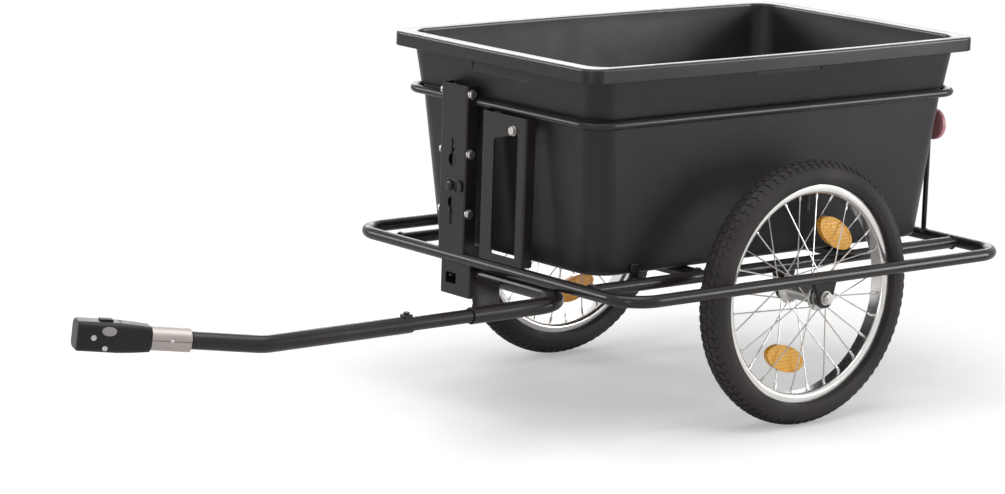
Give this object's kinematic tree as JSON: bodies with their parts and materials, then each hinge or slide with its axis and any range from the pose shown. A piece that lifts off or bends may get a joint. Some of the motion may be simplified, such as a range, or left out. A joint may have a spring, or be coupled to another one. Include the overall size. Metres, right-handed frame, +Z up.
{
  "type": "bike shopping trailer",
  "caption": "Bike trailer for shopping: an open lift-out tub held in a tube frame on spoked wheels, with a cranked telescopic tow bar that ends in a swivelling coupling.",
  "frame": {"origin": "on the ground, under the middle of the outer box", "axes": "+X forward along the tow bar to the bike, +Y to the trailer's left, +Z up"},
  "size_m": [1.5196, 0.6616, 0.5403],
  "materials": {
    "black_paint": "gloss black powder coat",
    "tub_plastic": "fine matt grain, nearly black",
    "black_plastic": "satin moulded",
    "zinc_steel": "bright zinc plate",
    "rim_alloy": "bright satin",
    "tyre_rubber": "matt tread and smooth side walls",
    "inner_rubber": "smooth",
    "amber_plastic": "clear moulded reflector",
    "red_plastic": "clear moulded reflector"
  },
  "bodies": {
    "frame": {"guard_loop": "black_paint", "hoop": "black_paint", "left_inner_rail": "black_paint", "right_inner_rail": "black_paint", "left_bracket_outer": "black_paint", "left_bracket_inner": "black_paint", "right_bracket_outer": "black_paint", "right_bracket_inner": "black_paint", "left_rear_post": "black_paint", "right_rear_post": "black_paint", "left_rear_reflector": "red_plastic", "right_rear_reflector": "red_plastic", "front_cross_tube": "black_paint", "rear_cross_tube": "black_paint", "mast": "black_paint", "mast_bolt_1": "zinc_steel", "mast_bolt_2": "zinc_steel", "mast_bolt_3": "zinc_steel", "front_post": "black_paint", "front_post_bolt": "zinc_steel", "tow_box": "black_paint", "clamp_nut": "zinc_steel", "left_axle": "zinc_steel", "left_nut_outer": "zinc_steel", "left_nut_inner": "zinc_steel", "right_axle": "zinc_steel", "right_nut_outer": "zinc_steel", "right_nut_inner": "zinc_steel"},
    "tub": {"tub": "tub_plastic"},
    "mast_latch": {"mast_latch": "black_paint"},
    "clamp_screw": {"clamp_screw": "black_plastic"},
    "tow_bar": {"tow_rear_tube": "black_paint", "tow_brace": "black_paint", "tow_slide_tube": "black_paint"},
    "tow_bar_front": {"tow_front_tube": "black_paint", "splice_screw": "black_paint", "end_collar": "black_plastic", "swivel_sleeve": "zinc_steel", "sleeve_pin": "zinc_steel"},
    "coupling": {"coupling_head": "black_plastic", "coupling_socket": "zinc_steel", "coupling_pin": "zinc_steel"},
    "release_button": {"release_button": "black_plastic"},
    "left_wheel": {"left_tyre": "tyre_rubber", "left_inner_tube": "inner_rubber", "left_rim": "rim_alloy", "left_hub_and_spokes": "zinc_steel", "left_bearing_outer": "zinc_steel", "left_bearing_inner": "zinc_steel", "left_reflector_upper": "amber_plastic", "left_reflector_lower": "amber_plastic"},
    "right_wheel": {"right_tyre": "tyre_rubber", "right_inner_tube": "inner_rubber", "right_rim": "rim_alloy", "right_hub_and_spokes": "zinc_steel", "right_bearing_outer": "zinc_steel", "right_bearing_inner": "zinc_steel", "right_reflector_upper": "amber_plastic", "right_reflector_lower": "amber_plastic"}
  },
  "joints": [
    {"name": "left_wheel_spin", "type": "hinge", "parent": "frame", "child": "left_wheel", "pos_m": [-0.3777, 0.275, 0.195], "axis": [0, 1, 0], "continuous": true},
    {"name": "right_wheel_spin", "type": "hinge", "parent": "frame", "child": "right_wheel", "pos_m": [-0.3777, -0.275, 0.195], "axis": [0, 1, 0], "continuous": true},
    {"name": "tub_lift", "type": "slide", "parent": "frame", "child": "tub", "axis": [0, 0, 1], "range_m": [0, 0.24]},
    {"name": "mast_latch_turn", "type": "hinge", "parent": "frame", "child": "mast_latch", "pos_m": [-0.0017, -0.079, 0.331], "axis": [1, 0, 0], "range_deg": [-90, 0]},
    {"name": "clamp_screw_turn", "type": "hinge", "parent": "frame", "child": "clamp_screw", "pos_m": [-0.04725, -0.066, 0.2035], "axis": [1, 0, 0], "continuous": true},
    {"name": "tow_bar_plug", "type": "slide", "parent": "frame", "child": "tow_bar", "axis": [0, 1, 0], "range_m": [0, 0.068]},
    {"name": "tow_bar_telescope", "type": "slide", "parent": "tow_bar", "child": "tow_bar_front", "axis": [1, 0, 0], "range_m": [-0.09, 0.04]},
    {"name": "coupling_swivel", "type": "hinge", "parent": "tow_bar_front", "child": "coupling", "pos_m": [0.6063, 0.14768, 0.21282], "axis": [0.9294, -0.3568, 0.0941], "continuous": true},
    {"name": "release_button_press", "type": "slide", "parent": "coupling", "child": "release_button", "axis": [0.0879, -0.0337, -0.9956], "range_m": [0, 0.003], "stiffness_N_per_m": 500, "springref_m": -0.003}
  ]
}
